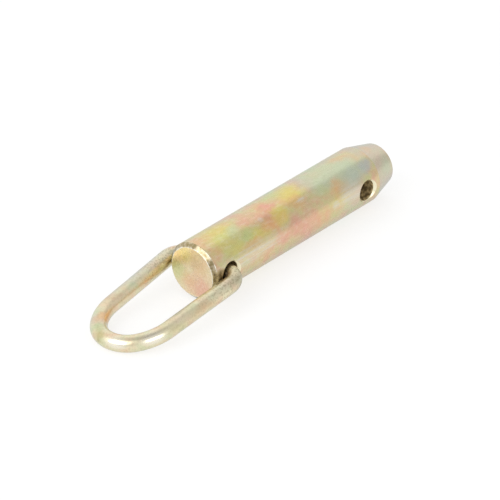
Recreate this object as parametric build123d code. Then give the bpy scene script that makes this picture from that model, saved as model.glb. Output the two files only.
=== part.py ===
"""Headless hitch pin: a round steel pin with a wire handle hooked through its flat end.

Millimetres. The pin's axis is X, from the centre of its flat end to its nose, and Z is up.
The pin lies on its side, and the handle has dropped until its bow touches the ground.
"""

import os
from math import acos, asin, atan2, cos, degrees, hypot, pi, sin, tan

from build123d import *

# Pin, turned from round bar
pin_d = 28.0
pin_length = 132.0
end_chamfer = 1.8  # at 45 degrees, round the flat end
taper_length = 14.5  # cone that leads the pin into its hole
taper_depth = 3.75  # taken off the radius by the cone
edge_round = 0.3  # where a tool mark and the plating soften an edge
nose_round = 0.8  # the nose's edge, softened further

# Cross holes, drilled through the pin along Y
retainer_hole_d = 10.0  # for a lynch pin of 9 to 9.5 mm
retainer_to_taper = 8.5  # hole's centre to the start of the cone
handle_hole_x = 11.5  # hole's centre to the flat end
countersink = 1.4  # at 45 degrees, measured at the crest of the bar

# Handle, bent from round wire into a U whose ends hook into the pin
wire_d = 8.0
hook_play = 1.0  # gap all round the wire in its hole
hook_length = 8.0  # wire inside the pin, measured from the bar's side
hook_bend_depth = 2.8  # the last part of the bend that lies inside the bar
leg_gap = 1.1  # between the bar's side and the leg that passes it
handle_reach = 68.0  # hinge line to the middle of the wire at the tip of the bow
bow_inside_width = 26.0
bow_depth = 21.5  # from the bow's widest place to its tip, along the middle of the wire
wire_end_chamfer = 0.6

# Worked out from the sizes above
pin_r = pin_d / 2
wire_r = wire_d / 2
retainer_hole_x = pin_length - taper_length - retainer_to_taper
handle_hole_d = wire_d + 2 * hook_play
hinge_z = -hook_play / 2  # the wire lies low in its hole
leg_half_width = pin_r + leg_gap + wire_r
bow_half_width = bow_inside_width / 2 + wire_r
handle_droop = degrees(asin((pin_r + hinge_z - wire_r) / handle_reach))


def turned_bar():
    """Revolve the bar's half section: flat end, chamfer, long shank and cone."""
    nose_r = pin_r - taper_depth
    corners = [
        (0, 0),
        (0, pin_r - end_chamfer),
        (end_chamfer, pin_r),
        (pin_length - taper_length, pin_r),
        (pin_length, nose_r),
        (pin_length, 0),
    ]
    rounds = [edge_round, edge_round, edge_round, nose_round]
    with BuildPart() as bar:
        with BuildSketch():
            with BuildLine():
                outline = FilletPolyline(*corners, radius=rounds)
                Line(outline @ 1, outline @ 0)
            make_face()
        revolve(axis=Axis.X)
    return bar.part


def cross_hole(x, diameter):
    """Cutter for a hole along Y, with a countersink where it leaves each side of the bar."""
    hole_r = diameter / 2
    outside = pin_r + 1
    with BuildPart() as cutter:
        with BuildSketch():
            with BuildLine():
                Polyline(
                    (0, 0),
                    (hole_r, 0),
                    (hole_r, pin_r - countersink),
                    (hole_r + outside - pin_r + countersink, outside),
                    (0, outside),
                    close=True,
                )
            make_face()
        revolve(axis=Axis.Y)
        mirror(about=Plane.XZ)
    return Pos(x, 0, 0) * cutter.part


def make_pin():
    """The turned bar with its two cross holes."""
    holes = cross_hole(retainer_hole_x, retainer_hole_d) + cross_hole(handle_hole_x, handle_hole_d)
    return turned_bar() - holes


def oval_radii(depth, half_width):
    """Radii of the arcs at the tip and at the side of a four-centre oval."""
    diagonal = hypot(depth, half_width)
    excess = (depth - half_width) * diagonal
    return (diagonal**2 - excess) / (2 * depth), (diagonal**2 + excess) / (2 * half_width)


def handle_centreline():
    """Middle of the wire, drawn flat with the hinge line on Y and the bow towards -X.

    Each side is a hook, a bend, a straight leg and the side of the bow. The leg runs from the
    corner above the hinge to where it touches the side arc, so the legs lean in by themselves.
    """
    tip_r, side_r = oval_radii(bow_depth, bow_half_width)
    tip_centre = Vector(tip_r - handle_reach, 0)
    side_centre = Vector(bow_depth - handle_reach, bow_half_width - side_r)
    corner = Vector(0, leg_half_width)

    to_corner = corner - side_centre
    leg_angle = atan2(to_corner.Y, to_corner.X) + acos(side_r / to_corner.length)
    leg_end = side_centre + Vector(side_r * cos(leg_angle), side_r * sin(leg_angle))

    to_tip_centre = tip_centre - side_centre
    tip_angle = atan2(to_tip_centre.Y, to_tip_centre.X)

    bend_start = pin_r - hook_bend_depth
    bend_r = (leg_half_width - bend_start) * tan((pi - leg_angle) / 2)

    with BuildLine() as centreline:
        FilletPolyline((0, pin_r - hook_length), corner, leg_end, radius=bend_r)
        CenterArc(side_centre, side_r, degrees(leg_angle), degrees(tip_angle - leg_angle))
        mirror(about=Plane.XZ)
        CenterArc(tip_centre, tip_r, degrees(tip_angle), degrees(2 * (pi - tip_angle)))
    return centreline.wire()


def make_handle():
    """Sweep the wire, break the edges of its two ends, and let it drop about the hinge line."""
    path = handle_centreline()
    with BuildPart() as wire:
        with BuildSketch(Plane(origin=path @ 0, z_dir=path % 0)):
            Circle(wire_r)
        sweep(path=path)
        ends = wire.faces().filter_by(Axis.Y).filter_by(GeomType.PLANE)
        chamfer(ends.edges(), wire_end_chamfer)
    return Location((handle_hole_x, 0, hinge_z), (0, -handle_droop, 0)) * wire.part


os.makedirs("parts", exist_ok=True)
export_step(make_pin(), "parts/pin.step")
export_step(make_handle(), "parts/handle.step")
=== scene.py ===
from math import cos, pi, radians, sin
import bpy
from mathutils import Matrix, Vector


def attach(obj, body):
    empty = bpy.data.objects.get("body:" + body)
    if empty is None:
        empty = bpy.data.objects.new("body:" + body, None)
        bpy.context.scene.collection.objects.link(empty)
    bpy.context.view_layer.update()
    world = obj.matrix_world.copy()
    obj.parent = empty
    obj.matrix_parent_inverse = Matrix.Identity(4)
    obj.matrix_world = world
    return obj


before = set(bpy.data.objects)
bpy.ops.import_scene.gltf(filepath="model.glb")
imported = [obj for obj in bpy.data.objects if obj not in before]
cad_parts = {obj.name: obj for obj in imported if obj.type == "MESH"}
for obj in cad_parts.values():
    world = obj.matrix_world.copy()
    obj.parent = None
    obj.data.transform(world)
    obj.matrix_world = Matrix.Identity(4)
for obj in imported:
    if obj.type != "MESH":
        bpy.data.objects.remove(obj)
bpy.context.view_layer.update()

# The pin is 28 mm drawn steel bar, cut to 132 mm, with a faced and chamfered flat end, a turned nose and two
# drilled and countersunk cross holes. It was barrel plated with zinc, then dipped in yellow chromate, whose
# thin film shows yellow, pink and green as its thickness changes along the bar.
MM = 0.001
BAR_RADIUS = 14.0
END_CHAMFER = 1.8
TAPER_START = 117.5
HANDLE_HOLE_X = 11.5
RETAINER_HOLE_X = 109.0
HOLE_RADIUS = 5.0


def paint(code):
    """An sRGB hex colour as the linear colour that a shader takes."""
    shares = [int(code[i:i + 2], 16) / 255 for i in (1, 3, 5)]
    return [s / 12.92 if s <= 0.04045 else ((s + 0.055) / 1.055) ** 2.4 for s in shares] + [1.0]


def add(tree, kind, feeds=(), **settings):
    """Adds one node. feeds gives sockets, by name or number, a value or the output that drives them."""
    node = tree.nodes.new(kind)
    for name, value in settings.items():
        setattr(node, name, value)
    for socket, value in dict(feeds).items():
        if isinstance(value, bpy.types.NodeSocket):
            tree.links.new(value, node.inputs[socket])
        else:
            node.inputs[socket].default_value = value
    return node


def new_material(name):
    """A node material of that name, with its tree and its surface shader."""
    material = bpy.data.materials.new(name)
    material.use_nodes = True
    tree = material.node_tree
    return material, tree, tree.nodes["Principled BSDF"]


# Tints of a chromate film on zinc, each from another thickness of the film.
FILM_TINTS = {
    "yellow": "#E8DA7C",
    "green": "#D0DA9A",
    "mint": "#CED7B8",
    "blue": "#C2CECC",
    "grey": "#D2CCB8",
    "tan": "#DABF9A",
    "orange": "#F0BE88",
    "pink": "#EFAE9E",
    "rose": "#E49E90",
}

# Where the dip left another tint. Each row says how many mm along the pin the patch lies, how many degrees
# round from its top towards its near side, and how many mm from its axis. Then come the patch's length and
# width in mm, its tint and its strength.
FILM_PATCHES = [
    # Along the top of the shank
    (5, -6, 14, 9, 14, "orange", 0.35),
    (17, 3, 14, 16, 15, "yellow", 0.7),
    (17, 21, 14, 12, 6, "green", 0.5),
    (23, 22, 14, 8, 6, "mint", 0.6),
    (30, 19, 14, 8, 6, "tan", 0.5),
    (32, 28, 14, 9, 7, "pink", 0.4),
    (34, 9, 14, 9, 7, "pink", 0.4),
    (40, 22, 14, 7, 6, "pink", 0.6),
    (47, 3, 14, 10, 10, "orange", 0.4),
    (49, 11, 14, 9, 6, "pink", 0.7),
    (59, 16, 14, 9, 10, "orange", 0.45),
    (57, -10, 14, 14, 8, "green", 0.5),
    (66, 12, 14, 12, 11, "yellow", 0.8),
    (75, 16, 14, 8, 8, "tan", 0.5),
    (75, -12, 14, 5, 12, "pink", 0.35),
    (78, 4, 14, 8, 12, "grey", 0.6),
    (93, 2, 14, 32, 18, "mint", 0.6),
    (90, 21, 14, 26, 8, "mint", 0.75),
    (103, 19, 14, 12, 7, "mint", 0.7),
    (104, -6, 14, 12, 4, "orange", 0.35),
    (116, -4, 14, 7, 14, "grey", 0.7),
    # Upper near side
    (4, 43, 14, 8, 6, "orange", 0.3),
    (11, 36, 14, 10, 8, "yellow", 0.4),
    (18, 51, 14, 14, 7, "green", 0.6),
    (25, 42, 14, 24, 8, "yellow", 0.45),
    (28, 43, 14, 12, 7, "green", 0.8),
    (35, 53, 14, 12, 6, "yellow", 0.7),
    (28, 62, 14, 14, 4, "orange", 0.7),
    (18, 58, 14, 10, 5, "yellow", 0.5),
    (41, 43, 14, 8, 6, "orange", 0.8),
    (46, 35, 14, 7, 7, "rose", 0.7),
    (46, 46, 14, 9, 7, "orange", 0.8),
    (52, 37, 14, 10, 8, "yellow", 1.0),
    (52, 42, 14, 8, 5, "orange", 0.4),
    (59, 48, 14, 8, 8, "green", 0.45),
    (58, 62, 14, 9, 6, "pink", 0.5),
    (64, 33, 14, 9, 8, "orange", 0.6),
    (70, 44, 14, 14, 8, "tan", 0.3),
    (83, 33, 14, 11, 7, "mint", 0.7),
    (81, 44, 14, 9, 6, "green", 0.35),
    (92, 51, 14, 12, 8, "orange", 0.75),
    (95, 61, 14, 12, 5, "tan", 0.7),
    (102, 40, 14, 17, 11, "mint", 0.85),
    (102, 46, 14, 10, 7, "blue", 0.4),
    (112, 40, 14, 8, 7, "blue", 0.7),
    # Lower near side
    (30, 72, 14, 34, 5, "yellow", 0.35),
    (34, 95, 14, 14, 9, "orange", 0.4),
    (48, 80, 14, 14, 9, "pink", 0.5),
    (59, 75, 14, 14, 7, "rose", 0.45),
    (66, 92, 14, 20, 12, "pink", 0.55),
    (77, 88, 14, 12, 11, "orange", 0.3),
    (53, 105, 14, 16, 6, "green", 0.35),
    (90, 74, 14, 12, 6, "yellow", 0.5),
    (101, 96, 14, 16, 12, "grey", 0.3),
    # Nose
    (121, 4, 12, 6, 6, "orange", 0.35),
    (126, 62, 11, 10, 7, "mint", 0.6),
    # Flat end
    (0, 145, 9, 8, 12, "pink", 0.6),
    (0, 45, 6, 8, 9, "orange", 0.35),
    (0, 262, 9, 8, 9, "green", 0.65),
    (0, 325, 9, 8, 8, "yellow", 0.35),
    (0, 205, 5, 8, 7, "orange", 0.35),
    (0, 20, 5, 8, 6, "tan", 0.4),
    # Far side
    (12, 300, 14, 16, 14, "yellow", 0.6),
    (30, 250, 14, 20, 12, "green", 0.6),
    (26, 320, 14, 16, 10, "pink", 0.4),
    (44, 285, 14, 18, 16, "orange", 0.6),
    (52, 230, 14, 14, 12, "rose", 0.5),
    (62, 310, 14, 20, 10, "mint", 0.5),
    (70, 265, 14, 18, 14, "pink", 0.6),
    (86, 240, 14, 16, 12, "yellow", 0.7),
    (92, 300, 14, 22, 14, "green", 0.5),
    (104, 270, 14, 16, 12, "mint", 0.7),
    # Underside
    (14, 190, 14, 18, 14, "orange", 0.5),
    (33, 160, 14, 20, 14, "yellow", 0.6),
    (50, 195, 14, 16, 12, "green", 0.6),
    (66, 150, 14, 18, 12, "tan", 0.6),
    (78, 185, 14, 18, 14, "pink", 0.6),
    (98, 165, 14, 20, 14, "mint", 0.6),
    (110, 210, 14, 14, 12, "yellow", 0.5),
    # The nose's end
    (132, 60, 6, 8, 8, "orange", 0.4),
    (132, 240, 6, 8, 8, "green", 0.4),
]
# The rims of the patches are soft, and they waver by up to 4 mm either way in waves 7 mm long.
PATCH_SOFTNESS = 0.7
WAVE_LENGTH = 7.0
WAVE_REACH = 8.0
# The usual tints follow one another over the middle part of the noise.
RAMP_START = 0.3
RAMP_LENGTH = 0.4


def round_bar(along, turn, out):
    """The place that many mm along the pin, that many degrees round from its top, that far from its axis."""
    return (along, -out * sin(radians(turn)), out * cos(radians(turn)))


def oval_share(tree, where, middle, sizes, soft, strength=1.0):
    """What an oval in mm covers: its strength at the middle, 0 outside, and a soft rim."""
    inside = add(tree, "ShaderNodeVectorMath", {
        0: where,
        1: [2 / size for size in sizes],
        2: [-2 * place / size for place, size in zip(middle, sizes)],
    }, operation="MULTIPLY_ADD")
    reach = add(tree, "ShaderNodeVectorMath", {0: inside.outputs[0]}, operation="LENGTH")
    return add(tree, "ShaderNodeMapRange", {
        "Value": reach.outputs["Value"], "From Min": 1.0 + soft, "From Max": 1.0 - soft, "To Max": strength,
    }, interpolation_type="SMOOTHSTEP").outputs[0]


def patched(tree, colour, where, middle, sizes, code, strength):
    """A film colour with one soft oval patch of another tint over it."""
    share = oval_share(tree, where, middle, sizes, PATCH_SOFTNESS, strength)
    return add(tree, "ShaderNodeMix", {0: share, 6: colour, 7: paint(code)}, data_type="RGBA").outputs[2]


def rubbed_share(tree, where, spots, soft):
    """What the barrel rubbed, on the wire's bow also painted highlights: the most that any oval spot covers.
    A spot is its middle and its sizes.
    """
    shares = [oval_share(tree, where, middle, sizes, soft) for middle, sizes in spots]
    largest = shares[0]
    for share in shares[1:]:
        largest = add(tree, "ShaderNodeMath", {0: largest, 1: share}, operation="MAXIMUM").outputs[0]
    return largest


def clouded_film(tree, tints, cloud_size):
    """Place in mm, that place with wavering lines, and the film's usual tint, which drifts in soft clouds."""
    place = add(tree, "ShaderNodeTexCoord").outputs["Object"]
    in_mm = add(tree, "ShaderNodeVectorMath", {0: place, "Scale": 1 / MM}, operation="SCALE").outputs[0]
    waves = add(tree, "ShaderNodeTexNoise", {
        "Vector": in_mm, "Scale": 1 / WAVE_LENGTH, "Detail": 5.0, "Roughness": 0.7,
    }).outputs["Color"]
    waves = add(tree, "ShaderNodeVectorMath", {0: waves, 1: (0.5, 0.5, 0.5)}, operation="SUBTRACT").outputs[0]
    wavering = add(tree, "ShaderNodeVectorMath", {
        0: waves, 1: (WAVE_REACH, WAVE_REACH, WAVE_REACH), 2: in_mm,
    }, operation="MULTIPLY_ADD").outputs[0]
    clouds = add(tree, "ShaderNodeTexNoise", {"Vector": in_mm, "Scale": 1 / cloud_size, "Detail": 3.0})
    ramp = add(tree, "ShaderNodeValToRGB", {"Fac": clouds.outputs["Fac"]})
    steps = ramp.color_ramp.elements
    steps.remove(steps[1])
    steps[0].position = RAMP_START
    steps[0].color = paint(tints[0])
    for i, code in enumerate(tints[1:], 1):
        steps.new(RAMP_START + RAMP_LENGTH * i / (len(tints) - 1)).color = paint(code)
    return in_mm, wavering, ramp.outputs["Color"]


# Yellow chromated zinc on drawn bar: a satin metal, pale gold with soft clouds of other tints. The eye also
# sees fine draw lines along the shank, turning rings on both ends, brown oily hole walls, pale edges that are
# partly painted highlights, and painted shade under the near hook and in the handle hole.
# A row of the rubbed spots gives the same first five values as a row of the film patches.
RUBBED_SPOTS = [
    (27, 77, 14, 34, 8),
    (40, 29, 14, 3, 2.5),
    (86, 80, 14, 5, 4),
    (97, 80, 14, 16, 12),
    (67, 35, 14, 5, 2),
]
RUB_SOFTNESS = 0.5
BAR_TINTS = ("#D8D69E", "#E0D2A2", "#E6C8A0", "#E6BFA0")
BAR_CLOUD_SIZE = 5.0
TURNED_NOSE = "#D6CCBA"
FACED_END = "#FCEDCA"
SMUDGED = "#958D70"
POLISHED = "#FBF6E6"
RUBBED = "#E3DDCC"
CHAMFER_DARK = "#A3936A"
CHAMFER_PALE = "#CDBEA0"
SUNK_HOLE_RIM = "#FCF4D4"
WORN_EDGE_AND_HIGHLIGHT = "#F4F0E2"
HOLE_DARK = "#776440"
HOLE_PALE = "#D6C08E"
PAINTED_HOOK_SHADE = "#483A1C"
ZINC_AT_GRAZING = "#ECF5FF"
# One film turns into the next over this many mm at an edge. A skin is how deep a face's own film is drawn.
SOFT_RIM = 0.1
END_SKIN = 0.12
WALL_SKIN = 0.16

plated_bar, tree, shader = new_material("yellow_chromated_zinc_on_bar")
in_mm, wavering, colour = clouded_film(tree, BAR_TINTS, BAR_CLOUD_SIZE)
axes = add(tree, "ShaderNodeSeparateXYZ", {0: in_mm})
along = axes.outputs["X"]
across = add(tree, "ShaderNodeCombineXYZ", {"Y": axes.outputs["Y"], "Z": axes.outputs["Z"]}).outputs[0]
radius = add(tree, "ShaderNodeVectorMath", {0: across}, operation="LENGTH").outputs["Value"]

# Turned faces took a paler film than the drawn shank: greyish on the nose, cream on the flat end.
NOSE_SHARE = 0.7
END_SHARE = 0.6
end_face = add(tree, "ShaderNodeMapRange", {
    "Value": along, "From Min": END_SKIN, "From Max": END_SKIN - SOFT_RIM,
}).outputs[0]
taper = add(tree, "ShaderNodeMapRange", {
    "Value": along, "From Min": TAPER_START - 0.3, "From Max": TAPER_START + 0.5,
}).outputs[0]
for face, strength, code in ((taper, NOSE_SHARE, TURNED_NOSE), (end_face, END_SHARE, FACED_END)):
    share = add(tree, "ShaderNodeMath", {0: face, 1: strength}, operation="MULTIPLY").outputs[0]
    colour = add(tree, "ShaderNodeMix", {0: share, 6: colour, 7: paint(code)}, data_type="RGBA").outputs[2]
for spot_along, turn, out, length, width, tint, strength in FILM_PATCHES:
    middle, sizes = round_bar(spot_along, turn, out), (length, width, width)
    colour = patched(tree, colour, wavering, middle, sizes, FILM_TINTS[tint], strength)

# Draw lines run along the shank, and the tool's feed left rings on the turned faces. Real ones are 0.05 to
# 0.2 mm apart, which is too fine to show, so they are drawn about 0.7 mm apart.
LINES_PER_MM = 1.6
RINGS_PER_MM = 1.4
LINE_BREAKS_PER_MM = 0.03
turned = add(tree, "ShaderNodeMath", {0: end_face, 1: taper}, operation="MAXIMUM").outputs[0]
ring_place = add(tree, "ShaderNodeMath", {
    0: radius, 1: RINGS_PER_MM, 2: along,
}, operation="MULTIPLY_ADD").outputs[0]
draw_lines = add(tree, "ShaderNodeVectorMath", {
    0: in_mm, 1: (LINE_BREAKS_PER_MM, LINES_PER_MM, LINES_PER_MM),
}, operation="MULTIPLY").outputs[0]
rings = add(tree, "ShaderNodeCombineXYZ", {"X": ring_place}).outputs[0]
tool_marks = add(tree, "ShaderNodeMix", {0: turned, 4: draw_lines, 5: rings}, data_type="VECTOR").outputs[1]
lines = add(tree, "ShaderNodeTexNoise", {"Vector": tool_marks, "Scale": 1.0, "Detail": 3.0}).outputs["Fac"]

# The zinc's grain is far finer than the 1 mm that is drawn, so that it shows. The mottle is the unevenness of
# the dip, about 2 mm across.
GRAIN_PER_MM = 1.2
MOTTLES_PER_MM = 0.55
grain = add(tree, "ShaderNodeTexNoise", {
    "Vector": in_mm, "Scale": GRAIN_PER_MM, "Detail": 4.0,
}).outputs["Fac"]
mottle = add(tree, "ShaderNodeTexNoise", {
    "Vector": in_mm, "Scale": MOTTLES_PER_MM, "Detail": 5.0,
}).outputs["Fac"]

# Smudges about 3 mm long and 1.4 mm wide, and polished places between them, are strongest near the flat end.
# Both rows say where in the noise the change starts and is full, then its strength and its colour.
SMUDGES_PER_MM = 0.8
SMUDGE_STRETCH = (0.4, 0.9, 0.9)
SMUDGES_FADE_OUT = 160.0
SMUDGES_FULL = 20.0
SMUDGE_LOOKS = [
    (0.47, 0.34, 0.12, SMUDGED),
    (0.52, 0.66, 0.18, POLISHED),
]
drawn_out = add(tree, "ShaderNodeVectorMath", {0: in_mm, 1: SMUDGE_STRETCH}, operation="MULTIPLY").outputs[0]
smudges = add(tree, "ShaderNodeTexNoise", {
    "Vector": drawn_out, "Scale": SMUDGES_PER_MM, "Detail": 4.0,
}).outputs["Fac"]
towards_end = add(tree, "ShaderNodeMapRange", {
    "Value": along, "From Min": SMUDGES_FADE_OUT, "From Max": SMUDGES_FULL,
}).outputs[0]
for none, full, strength, code in SMUDGE_LOOKS:
    share = add(tree, "ShaderNodeMapRange", {
        "Value": smudges, "From Min": none, "From Max": full, "To Max": strength,
    }).outputs[0]
    share = add(tree, "ShaderNodeMath", {0: share, 1: towards_end}, operation="MULTIPLY").outputs[0]
    colour = add(tree, "ShaderNodeMix", {0: share, 6: colour, 7: paint(code)}, data_type="RGBA").outputs[2]

# The barrel rubbed the film thin in spots, more on the crests of the draw lines than between them.
rub = rubbed_share(tree, in_mm, [
    (round_bar(spot_along, turn, out), (length, width, width))
    for spot_along, turn, out, length, width in RUBBED_SPOTS
], RUB_SOFTNESS)
crests = add(tree, "ShaderNodeMapRange", {
    "Value": lines, "From Min": 0.4, "From Max": 0.6, "To Min": 0.2, "To Max": 0.8,
}).outputs[0]
rub = add(tree, "ShaderNodeMath", {0: rub, 1: crests}, operation="MULTIPLY").outputs[0]
colour = add(tree, "ShaderNodeMix", {0: rub, 6: colour, 7: paint(RUBBED)}, data_type="RGBA").outputs[2]

# The walls of both cross holes, found by their distance from the hole's axis.
hole_walls = []
for hole_x in (HANDLE_HOLE_X, RETAINER_HOLE_X):
    from_hole = add(tree, "ShaderNodeVectorMath", {0: in_mm, 1: (hole_x, 0, 0)}, operation="SUBTRACT")
    flat = add(tree, "ShaderNodeVectorMath", {0: from_hole.outputs[0], 1: (1, 0, 1)}, operation="MULTIPLY")
    distance = add(tree, "ShaderNodeVectorMath", {0: flat.outputs[0]}, operation="LENGTH")
    hole_walls.append(add(tree, "ShaderNodeMapRange", {
        "Value": distance.outputs["Value"],
        "From Min": HOLE_RADIUS + WALL_SKIN, "From Max": HOLE_RADIUS + WALL_SKIN - SOFT_RIM,
    }).outputs[0])
wall = add(tree, "ShaderNodeMath", {0: hole_walls[0], 1: hole_walls[1]}, operation="MAXIMUM").outputs[0]

# Both edges of the chamfer are painted pale, as worn zinc and as the painted highlight that a rounded edge
# catches: the inner one all round, the outer one only on the near upper side. The pale is full within 0.1 mm
# of an edge and fades out at 0.42 mm.
EDGE_PALE_WIDTH = 0.1
EDGE_PALE_FADES_OUT = 0.42
OUTER_EDGE_PALE_TURN = 58
OUTER_EDGE_PALE_SIZES = (6, 14, 14)
OUTER_EDGE_PALE_SOFTNESS = 0.4
half_section = add(tree, "ShaderNodeCombineXYZ", {"X": along, "Y": radius}).outputs[0]
edges = []
for edge in ((0.1, BAR_RADIUS - END_CHAMFER - 0.05), (END_CHAMFER, BAR_RADIUS)):
    reach = add(tree, "ShaderNodeVectorMath", {0: half_section, 1: (*edge, 0)}, operation="DISTANCE")
    edges.append(add(tree, "ShaderNodeMapRange", {
        "Value": reach.outputs["Value"], "From Min": EDGE_PALE_FADES_OUT, "From Max": EDGE_PALE_WIDTH,
    }).outputs[0])
edge_pale_breaks = add(tree, "ShaderNodeMapRange", {
    "Value": mottle, "From Min": 0.45, "From Max": 0.56, "To Min": 0.15, "To Max": 1.0,
}).outputs[0]
outer_edge_pale_middle = round_bar(END_CHAMFER, OUTER_EDGE_PALE_TURN, BAR_RADIUS)
outer_edge_pale = oval_share(tree, in_mm, outer_edge_pale_middle, OUTER_EDGE_PALE_SIZES, OUTER_EDGE_PALE_SOFTNESS)
outer_edge = add(tree, "ShaderNodeMath", {0: edges[1], 1: outer_edge_pale}, operation="MULTIPLY").outputs[0]
worn_and_highlit_edges = add(tree, "ShaderNodeMath", {0: edges[0], 1: outer_edge}, operation="MAXIMUM").outputs[0]
worn_and_highlit_edges = add(tree, "ShaderNodeMath", {0: worn_and_highlit_edges, 1: edge_pale_breaks}, operation="MULTIPLY").outputs[0]

# Between the chamfer and the nose, only the countersinks lie below the shank's surface.
SUNK_DEPTH = 0.12
SHANK_START = 3.0
SHANK_END = TAPER_START - 0.5
sunk = add(tree, "ShaderNodeMapRange", {
    "Value": radius, "From Min": BAR_RADIUS - SUNK_DEPTH + 0.05, "From Max": BAR_RADIUS - SUNK_DEPTH,
}).outputs[0]
for edge, inner in ((SHANK_START, SHANK_START + SOFT_RIM), (SHANK_END, SHANK_END - SOFT_RIM)):
    inside = add(tree, "ShaderNodeMapRange", {"Value": along, "From Min": edge, "From Max": inner}).outputs[0]
    sunk = add(tree, "ShaderNodeMath", {0: sunk, 1: inside}, operation="MULTIPLY").outputs[0]

# Painted shade: a dark patch where the near hook's leg lies close over the chamfer and shades the narrow gap,
# but not on the flat end.
HOOK_SHADE_MIDDLE = round_bar(3.0, 83, 13.6)
HOOK_SHADE_SIZES = (9, 5, 5)
HOOK_SHADE_SOFTNESS = 0.6
HOOK_SHADE_FULL = 0.6
hook_shade = oval_share(tree, in_mm, HOOK_SHADE_MIDDLE, HOOK_SHADE_SIZES, HOOK_SHADE_SOFTNESS)
hook_shade = add(tree, "ShaderNodeMapRange", {"Value": hook_shade, "From Max": HOOK_SHADE_FULL}).outputs[0]
off_end = add(tree, "ShaderNodeMapRange", {"Value": along, "From Min": 0.05, "From Max": 0.2}).outputs[0]
hook_shade = add(tree, "ShaderNodeMath", {0: hook_shade, 1: off_end}, operation="MULTIPLY").outputs[0]
# The oily walls of the holes and the painted shade under the hook take the same brown.
hole_oil_and_hook_shade = add(tree, "ShaderNodeMath", {0: wall, 1: hook_shade}, operation="MAXIMUM").outputs[0]

# The chamfer, the oil in the holes and the painted shade under the hook are blotched, in step with the
# mottle.
# Painted shade of the hook: the patch under the near hook and the walls of the handle hole, where the hook
# sits, are darkened further towards a dark brown.
HOOK_SHADE_STRENGTH = 0.35
HANDLE_HOLE_SHADE_STRENGTH = 0.5
chamfer = add(tree, "ShaderNodeMapRange", {
    "Value": along, "From Min": END_CHAMFER + 0.15, "From Max": END_CHAMFER - 0.05,
}).outputs[0]
off_face = add(tree, "ShaderNodeMapRange", {"Value": along, "From Min": 0.02, "From Max": 0.15}).outputs[0]
chamfer = add(tree, "ShaderNodeMath", {0: chamfer, 1: off_face}, operation="MULTIPLY").outputs[0]
blotches = add(tree, "ShaderNodeMapRange", {"Value": mottle, "From Min": 0.42, "From Max": 0.58}).outputs[0]
chamfer_film = add(tree, "ShaderNodeMix", {
    0: blotches, 6: paint(CHAMFER_DARK), 7: paint(CHAMFER_PALE),
}, data_type="RGBA").outputs[2]
blotches = add(tree, "ShaderNodeMapRange", {"Value": mottle, "From Min": 0.38, "From Max": 0.62}).outputs[0]
brown_oil = add(tree, "ShaderNodeMix", {
    0: blotches, 6: paint(HOLE_DARK), 7: paint(HOLE_PALE),
}, data_type="RGBA").outputs[2]
in_hook_shade = add(tree, "ShaderNodeMath", {0: hook_shade, 1: HOOK_SHADE_STRENGTH}, operation="MULTIPLY").outputs[0]
handle_hole_shade = add(tree, "ShaderNodeMath", {
    0: hole_walls[0], 1: HANDLE_HOLE_SHADE_STRENGTH,
}, operation="MULTIPLY").outputs[0]
painted_shade_share = add(tree, "ShaderNodeMath", {0: in_hook_shade, 1: handle_hole_shade}, operation="MAXIMUM").outputs[0]

# These layers lie over the film, the last one on top.
for share, layer in (
    (chamfer, chamfer_film),
    (sunk, paint(SUNK_HOLE_RIM)),
    (worn_and_highlit_edges, paint(WORN_EDGE_AND_HIGHLIGHT)),
    (hole_oil_and_hook_shade, brown_oil),
    (painted_shade_share, paint(PAINTED_HOOK_SHADE)),
):
    colour = add(tree, "ShaderNodeMix", {0: share, 6: colour, 7: layer}, data_type="RGBA").outputs[2]
tree.links.new(colour, shader.inputs["Base Color"])

# The metal is satin, duller in the drilled holes and brighter on the chamfer. Oil, the painted hook shade and
# the worn edges scatter the light, so they are less of a mirror than bare metal; on the edges this also
# paints the bright highlight of a rounded edge.
RELIEF_DEPTH = 0.04 * MM
RELIEF_STRENGTH = 0.12
SATIN = (0.24, 0.34)
HOLE_ROUGHER = 0.25
CHAMFER_SMOOTHER = -0.1
EDGES_SCATTER = 0.6
SCATTER_LOSS = -0.75
relief = add(tree, "ShaderNodeMath", {0: lines, 1: grain}, operation="ADD").outputs[0]
bump = add(tree, "ShaderNodeBump", {"Height": relief, "Strength": RELIEF_STRENGTH, "Distance": RELIEF_DEPTH})
tree.links.new(bump.outputs[0], shader.inputs["Normal"])
rough = add(tree, "ShaderNodeMapRange", {
    "Value": mottle, "From Min": 0.3, "From Max": 0.7, "To Min": SATIN[0], "To Max": SATIN[1],
}).outputs[0]
for share, change in ((wall, HOLE_ROUGHER), (chamfer, CHAMFER_SMOOTHER)):
    rough = add(tree, "ShaderNodeMath", {0: share, 1: change, 2: rough}, operation="MULTIPLY_ADD").outputs[0]
tree.links.new(rough, shader.inputs["Roughness"])
scattering = add(tree, "ShaderNodeMath", {
    0: worn_and_highlit_edges, 1: EDGES_SCATTER, 2: hole_oil_and_hook_shade,
}, operation="MULTIPLY_ADD").outputs[0]
bare_metal = add(tree, "ShaderNodeMath", {
    0: scattering, 1: SCATTER_LOSS, 2: 1.0,
}, operation="MULTIPLY_ADD").outputs[0]
tree.links.new(bare_metal, shader.inputs["Metallic"])
shader.inputs["Specular Tint"].default_value = paint(ZINC_AT_GRAZING)
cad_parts["pin"].data.materials[0] = plated_bar

# The handle is 8 mm drawn steel wire, bent cold into a bow with two hooked ends and sprung into the cross
# hole. It has the same zinc and yellow chromate, and its film is a more even khaki with faint tints.
WIRE_RADIUS = 4.0
WIRE_TINTS = ("#DEE2BC", "#ECE5C2", "#F1E0BE", "#F0D2B4")
WIRE_CLOUD_SIZE = 6.0
WIRE_GRAIN_PER_MM = 1.1
WIRE_SPECKLE = "#AB9E7C"
WIRE_POLISHED_HIGHLIGHT = "#F8F1DE"
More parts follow.
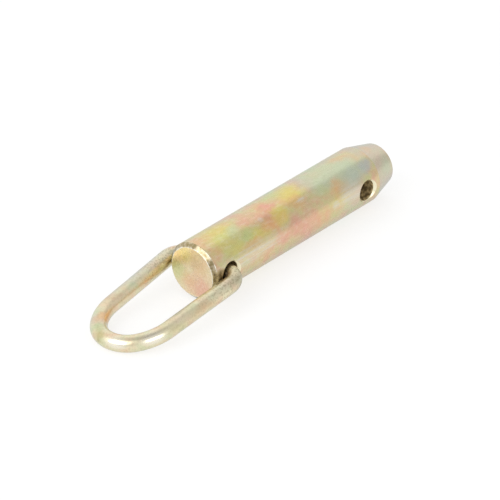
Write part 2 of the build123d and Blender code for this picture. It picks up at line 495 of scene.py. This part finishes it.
# A patch is its middle and its sizes in mm, its tint and its strength. A rubbed spot, painted near white as
# polish and as a highlight, has only the first two.
WIRE_PATCHES = [
    ((-28, 21, 1), (60, 8, 8), "#CFCFC8", 0.75),
    ((-56, 12, -4), (18, 10, 6), "#CFCFC8", 0.6),
    ((-4, -22, 3), (24, 8, 6), "#CDCDBC", 0.5),
    ((-46, 11, -6), (12, 5, 6), "#EDB77E", 0.6),
    ((-55.5, 8, -6), (6, 6, 5), "#C3CE98", 0.6),
    ((-58.5, 4, -8), (5, 6, 5), "#BDAE70", 0.6),
    ((-30, -20, -3), (14, 8, 7), "#EDC6AE", 0.45),
    ((-22, -20, -2), (8, 8, 7), "#C9D2A0", 0.5),
    ((-38, -19, -4), (8, 8, 6), "#DCC78C", 0.5),
    ((-10, 20, -3), (16, 8, 5), "#C9B892", 0.5),
    ((-30, 19, -5), (18, 8, 5), "#CDB590", 0.45),
    ((-6, -20, 0), (20, 6, 5), "#F2EDC8", 0.4),
    ((-22, -20, -2.5), (20, 6, 5), "#F4EFD0", 0.5),
    ((-38, -19, -4.5), (18, 6, 5), "#F4EFD2", 0.6),
    ((-16, -21.5, -3), (16, 4, 4), "#E0BC90", 0.6),
    ((-32, -20.5, -5.5), (12, 4, 4), "#D6D29A", 0.5),
    ((9, -22, 0), (13, 10, 8), "#BFB296", 0.55),
    # Painted shade: the next two dark strips run along the near leg's upper rim, on its side towards the bar,
    # as the dark reflection of the shaded gap there.
    ((-8, -16, -1), (18, 3, 4), "#B0A98C", 0.6),
    ((-24, -15.6, -3), (18, 3, 4), "#ADA688", 0.6),
]
WIRE_RUBBED_HIGHLIGHTS = [
    ((-58.5, -6, -8.2), (8, 9, 4.5)),
    ((-47.0, -18.0, -6.6), (11, 8, 4.5)),
]
WIRE_RUB_SOFTNESS = 0.6

# Yellow chromated zinc on drawn wire: a satin metal, brightest at two rubbed spots on the bow, which are also
# painted highlights of the two softboxes.
plated_wire, tree, shader = new_material("yellow_chromated_zinc_on_wire")
in_mm, wavering, colour = clouded_film(tree, WIRE_TINTS, WIRE_CLOUD_SIZE)
for middle, sizes, code, strength in WIRE_PATCHES:
    colour = patched(tree, colour, wavering, middle, sizes, code, strength)

# Bending coarsened the wire near its hooks, so its speckle is strongest there. The real grain is far finer
# than the 1 mm that is drawn, so that it shows.
HOOKS_START = -22.0
HOOKS_FULL = 4.0
WIRE_RELIEF_STRENGTH = 0.25
WIRE_SATIN = (0.36, 0.28)
RUB_SMOOTHER = -0.1
grain = add(tree, "ShaderNodeTexNoise", {
    "Vector": in_mm, "Scale": WIRE_GRAIN_PER_MM, "Detail": 5.0, "Roughness": 0.6,
}).outputs["Fac"]
along = add(tree, "ShaderNodeSeparateXYZ", {0: in_mm}).outputs["X"]
near_hooks = add(tree, "ShaderNodeMapRange", {
    "Value": along, "From Min": HOOKS_START, "From Max": HOOKS_FULL, "To Min": 0.2, "To Max": 0.6,
}).outputs[0]
speckle = add(tree, "ShaderNodeMapRange", {"Value": grain, "From Min": 0.49, "From Max": 0.4}).outputs[0]
speckle = add(tree, "ShaderNodeMath", {0: speckle, 1: near_hooks}, operation="MULTIPLY").outputs[0]
# Painted highlight: the two rubbed spots on the bow are painted near white, as polished zinc and as the
# softboxes' glints there.
rub = rubbed_share(tree, in_mm, WIRE_RUBBED_HIGHLIGHTS, WIRE_RUB_SOFTNESS)
for share, code in ((speckle, WIRE_SPECKLE), (rub, WIRE_POLISHED_HIGHLIGHT)):
    colour = add(tree, "ShaderNodeMix", {0: share, 6: colour, 7: paint(code)}, data_type="RGBA").outputs[2]
tree.links.new(colour, shader.inputs["Base Color"])
bump = add(tree, "ShaderNodeBump", {
    "Height": grain, "Strength": WIRE_RELIEF_STRENGTH, "Distance": RELIEF_DEPTH,
})
tree.links.new(bump.outputs[0], shader.inputs["Normal"])
rough = add(tree, "ShaderNodeMapRange", {
    "Value": grain, "From Min": 0.3, "From Max": 0.7, "To Min": WIRE_SATIN[0], "To Max": WIRE_SATIN[1],
}).outputs[0]
rough = add(tree, "ShaderNodeMath", {0: rub, 1: RUB_SMOOTHER, 2: rough}, operation="MULTIPLY_ADD").outputs[0]
tree.links.new(rough, shader.inputs["Roughness"])
shader.inputs["Metallic"].default_value = 1.0
shader.inputs["Specular Tint"].default_value = paint(ZINC_AT_GRAZING)
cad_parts["handle"].data.materials[0] = plated_wire

# The floor is a sheet of matt white paper that reaches six metres each way. The bar and the handle's bow rest
# on it. Where the handle folds under the bar, the sheet lies as low as the bow does.
FLOOR_HALF = 6.0
BOW_MIDDLE = (-55.83, 0.0, -10.0)
floor_mesh = bpy.data.meshes.new("paper_floor")
corners = [(-1, -1), (1, -1), (1, 1), (-1, 1)]
floor_mesh.from_pydata(
    [(x * FLOOR_HALF, y * FLOOR_HALF, -WIRE_RADIUS * MM) for x, y in corners], [], [(0, 1, 2, 3)]
)
floor = bpy.data.objects.new("paper_floor", floor_mesh)
bpy.context.scene.collection.objects.link(floor)
bow_mark = bpy.data.objects.new("bow_mark", None)
bow_mark.location = [MM * distance for distance in BOW_MIDDLE]
bpy.context.scene.collection.objects.link(bow_mark)
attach(bow_mark, "handle_body")
under_bow = floor.constraints.new("COPY_LOCATION")
under_bow.target = bow_mark
under_bow.use_x = under_bow.use_y = False
under_bar = floor.constraints.new("LIMIT_LOCATION")
under_bar.use_max_z = True
under_bar.max_z = (WIRE_RADIUS - BAR_RADIUS) * MM

# Matt white paper: an even white with no shine. The eye sees it glow pure white with a faint soft shadow, and
# the metal mirrors it a little less bright. It lights the pin as plain paper does.
PAPER = "#F2F2F0"
WHITE = "#FFFFFF"
SHADOW_SHARE = 0.35
GLOW_IN_METAL = 0.92
GLOW_TO_THE_EYE = 1.08
paper, tree, shader = new_material("matt_white_paper")
tree.nodes.remove(shader)
lit_paper = add(tree, "ShaderNodeBsdfDiffuse", {"Color": paint(PAPER)})
path = add(tree, "ShaderNodeLightPath")
level = add(tree, "ShaderNodeMath", {
    0: path.outputs["Is Camera Ray"], 1: GLOW_TO_THE_EYE - GLOW_IN_METAL, 2: GLOW_IN_METAL,
}, operation="MULTIPLY_ADD")
glow = add(tree, "ShaderNodeEmission", {"Color": paint(WHITE), "Strength": level.outputs[0]})
shaded = add(tree, "ShaderNodeBsdfDiffuse", {"Color": paint(WHITE)})
seen_paper = add(tree, "ShaderNodeMixShader", {0: SHADOW_SHARE, 1: glow.outputs[0], 2: shaded.outputs[0]})
seen = path.outputs["Is Camera Ray"]
for ray in ("Is Glossy Ray", "Is Transmission Ray"):
    seen = add(tree, "ShaderNodeMath", {0: seen, 1: path.outputs[ray]}, operation="MAXIMUM").outputs[0]
both = add(tree, "ShaderNodeMixShader", {0: seen, 1: lit_paper.outputs[0], 2: seen_paper.outputs[0]})
tree.links.new(both.outputs[0], tree.nodes["Material Output"].inputs["Surface"])
floor_mesh.materials.append(paper)

# The camera looks down on the flat end and along the near side with a long lens, from two metres.
CAMERA_TURN = 49.695
CAMERA_TILT = 30.254
CAMERA_DISTANCE = 2.0355
CAMERA_AIM = Vector((0.02075, -0.01665, 0.00866))
LENS = 325.2
SENSOR_WIDTH = 36.0
turn, tilt = radians(CAMERA_TURN), radians(CAMERA_TILT)
ahead = Vector((cos(tilt) * sin(turn), cos(tilt) * cos(turn), -sin(tilt)))
camera_data = bpy.data.cameras.new("camera")
camera_data.lens = LENS
camera_data.sensor_width = SENSOR_WIDTH
camera = bpy.data.objects.new("camera", camera_data)
camera.location = CAMERA_AIM - ahead * CAMERA_DISTANCE
camera.rotation_euler = (pi / 2 - tilt, 0, -turn)
bpy.context.scene.collection.objects.link(camera)
bpy.context.scene.camera = camera

# The studio has a white sweep behind the pin, a greyer room in front, where the camera stands, and a darker
# ceiling right above. One soft lamp stands before the flat end and one beside the near side.
SWEEP_LEVEL = 0.99
ROOM_LEVEL = 0.7
CEILING_SHARE = 0.6
world = bpy.data.worlds.new("studio")
bpy.context.scene.world = world
world.use_nodes = True
tree = world.node_tree
direction = add(tree, "ShaderNodeTexCoord").outputs["Generated"]
direction = add(tree, "ShaderNodeSeparateXYZ", {0: direction})
sweep = add(tree, "ShaderNodeMapRange", {
    "Value": direction.outputs["Y"],
    "From Min": -0.12, "From Max": 0.02, "To Min": ROOM_LEVEL, "To Max": SWEEP_LEVEL,
}, interpolation_type="SMOOTHSTEP").outputs[0]
ceiling = add(tree, "ShaderNodeMapRange", {
    "Value": direction.outputs["Z"],
    "From Min": 0.86, "From Max": 0.97, "To Min": 1.0, "To Max": CEILING_SHARE,
}, interpolation_type="SMOOTHSTEP").outputs[0]
studio_level = add(tree, "ShaderNodeMath", {0: sweep, 1: ceiling}, operation="MULTIPLY").outputs[0]
background = tree.nodes["Background"]
tree.links.new(studio_level, background.inputs["Strength"])
background.inputs["Color"].default_value = paint(WHITE)
LAMP_AIM = Vector((0.03, 0, 0))


def softbox(name, place, width, height, level):
    """A rectangular lamp aimed at the pin. Level 1 is as bright as white paper."""
    lamp = bpy.data.lights.new(name, "AREA")
    lamp.shape = "RECTANGLE"
    lamp.size, lamp.size_y = width, height
    lamp.energy = pi * width * height * level
    holder = bpy.data.objects.new(name, lamp)
    holder.location = place
    holder.rotation_euler = (LAMP_AIM - Vector(place)).to_track_quat("-Z", "Y").to_euler()
    bpy.context.scene.collection.objects.link(holder)


softbox("softbox_left", (-1.31, -0.02, 0.92), width=1.4, height=1.2, level=1.4)
softbox("softbox_front", (-0.2, -1.28, 0.52), width=0.8, height=0.8, level=1.3)
bpy.context.scene.view_settings.view_transform = "Standard"
